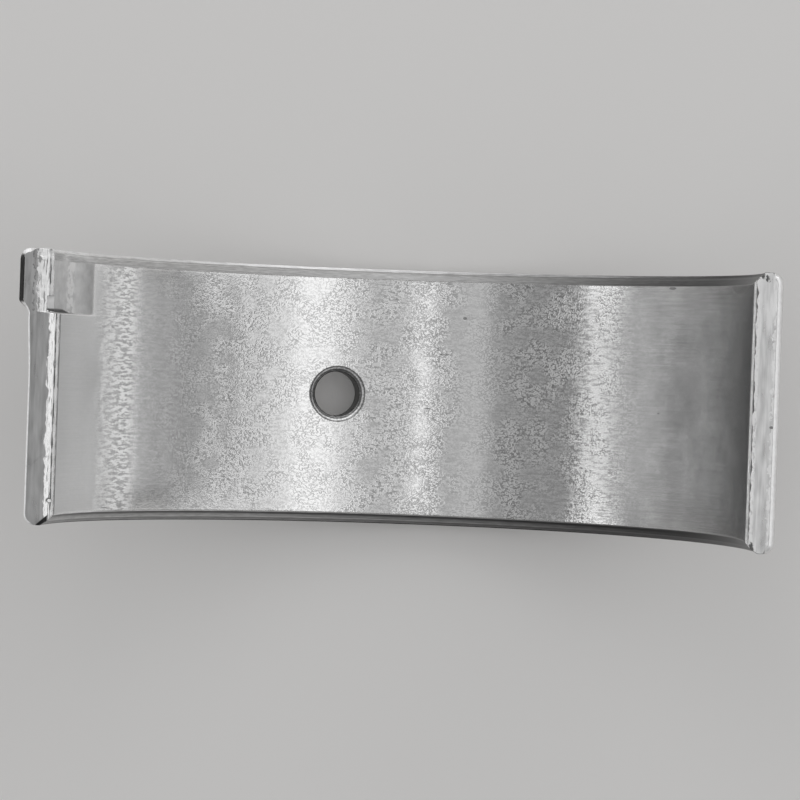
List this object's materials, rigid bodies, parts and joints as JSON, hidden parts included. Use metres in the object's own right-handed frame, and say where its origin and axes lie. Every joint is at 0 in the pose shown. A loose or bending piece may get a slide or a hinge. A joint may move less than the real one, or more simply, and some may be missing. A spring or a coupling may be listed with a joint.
{
  "type": "engine bearing shell",
  "caption": "Half-round plain bearing shell for an engine journal: steel strip with a soft lining, chamfered bore edges, a pressed locating lug at the parting face and a radial oil hole.",
  "frame": {"origin": "on the journal's axis, at mid-width, on the parting plane", "axes": "+Y along the journal's axis, +Z out of the open side, +X away from the locating lug"},
  "size_m": [0.0549, 0.02, 0.027],
  "materials": {
    "bearing_metal": "satin grey, fine-bored lining on a steel back"
  },
  "bodies": {
    "root": {"bearing_shell": "bearing_metal"}
  },
  "joints": []
}
